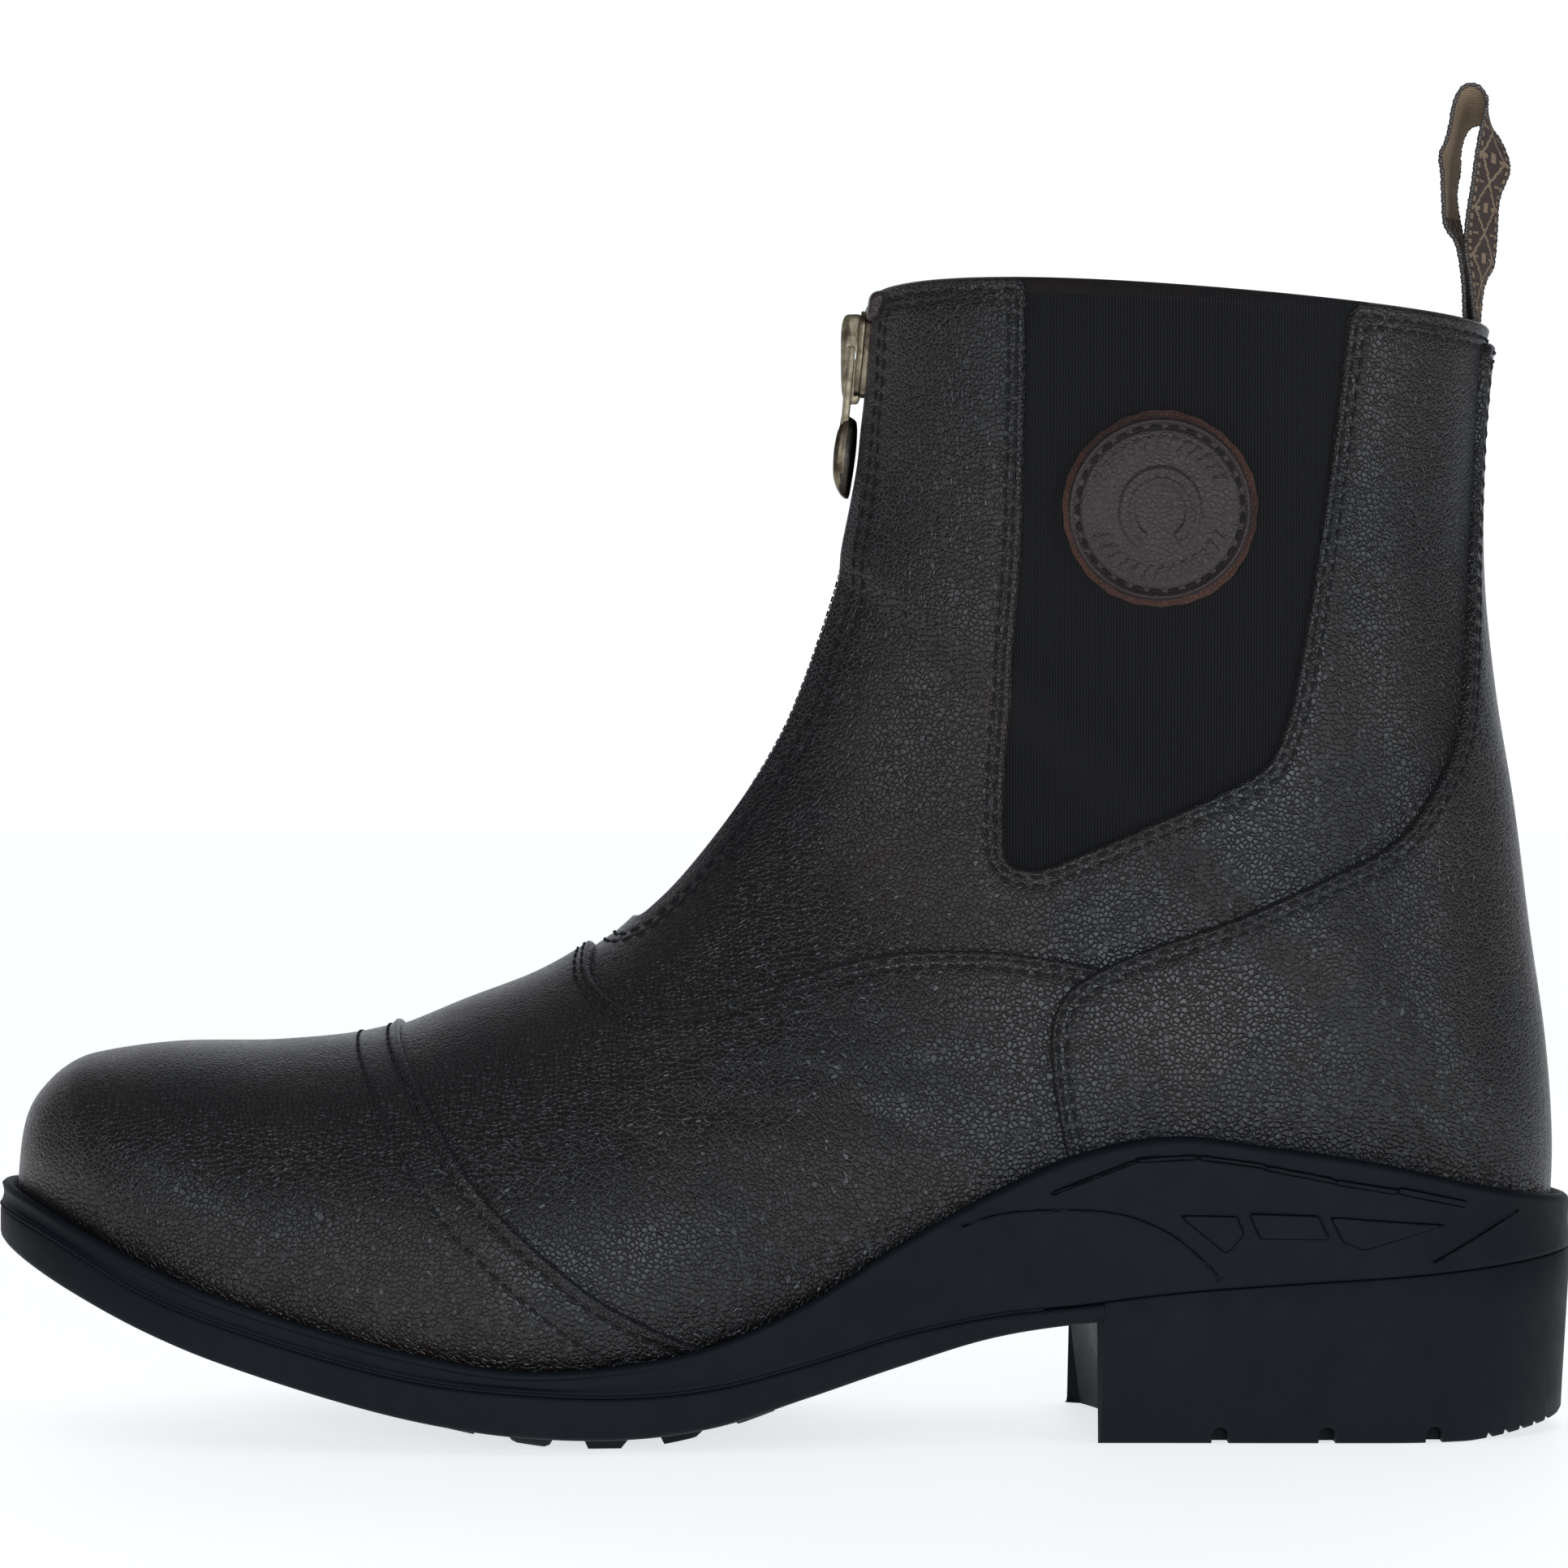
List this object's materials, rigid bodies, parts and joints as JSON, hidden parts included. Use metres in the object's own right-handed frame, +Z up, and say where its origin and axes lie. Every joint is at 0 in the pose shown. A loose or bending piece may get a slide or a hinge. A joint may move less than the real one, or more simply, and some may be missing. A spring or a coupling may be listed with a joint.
{
  "type": "paddock boot",
  "caption": "Short leather riding boot for the left foot with front zip, elastic gores, toe cap, block heel and a pull loop; stands empty on its sole.",
  "frame": {"origin": "centre of the heel's floor face", "axes": "+Z up, +X toward the back of the heel, -X toward the toe, -Y toward the outer side of the left foot"},
  "size_m": [0.28, 0.0979, 0.2375],
  "materials": {
    "brown_leather": "fine-grained synthetic leather, soft sheen",
    "sole_rubber": "matte moulded rubber, fine texture",
    "gore_elastic": "ribbed elastic",
    "zip_tape_cloth": "woven tape",
    "loop_webbing": "woven tape, fuzzy edges",
    "insole_sock": "felted sock",
    "antique_brass": "dark antique brass",
    "badge_leather": "embossed leather, raw cut edge"
  },
  "bodies": {
    "boot": {"sole_unit": "sole_rubber", "outsole": "sole_rubber", "heel": "sole_rubber", "insole": "insole_sock", "upper": "brown_leather", "toe_cap": "brown_leather", "vamp": "brown_leather", "counter": "brown_leather", "gore_lateral": "gore_elastic", "gore_medial": "gore_elastic", "badge": "badge_leather", "zip_tape": "zip_tape_cloth", "zip_chain": "antique_brass", "zip_slider": "antique_brass", "pull_loop": "loop_webbing"},
    "pull_tab": {"zip_pull_tab": "antique_brass"}
  },
  "joints": [
    {"name": "pull_tab_hinge", "type": "hinge", "parent": "boot", "child": "pull_tab", "pos_m": [-0.08474, 0, 0.19111], "axis": [0, 1, 0], "range_deg": [0, 150]}
  ]
}
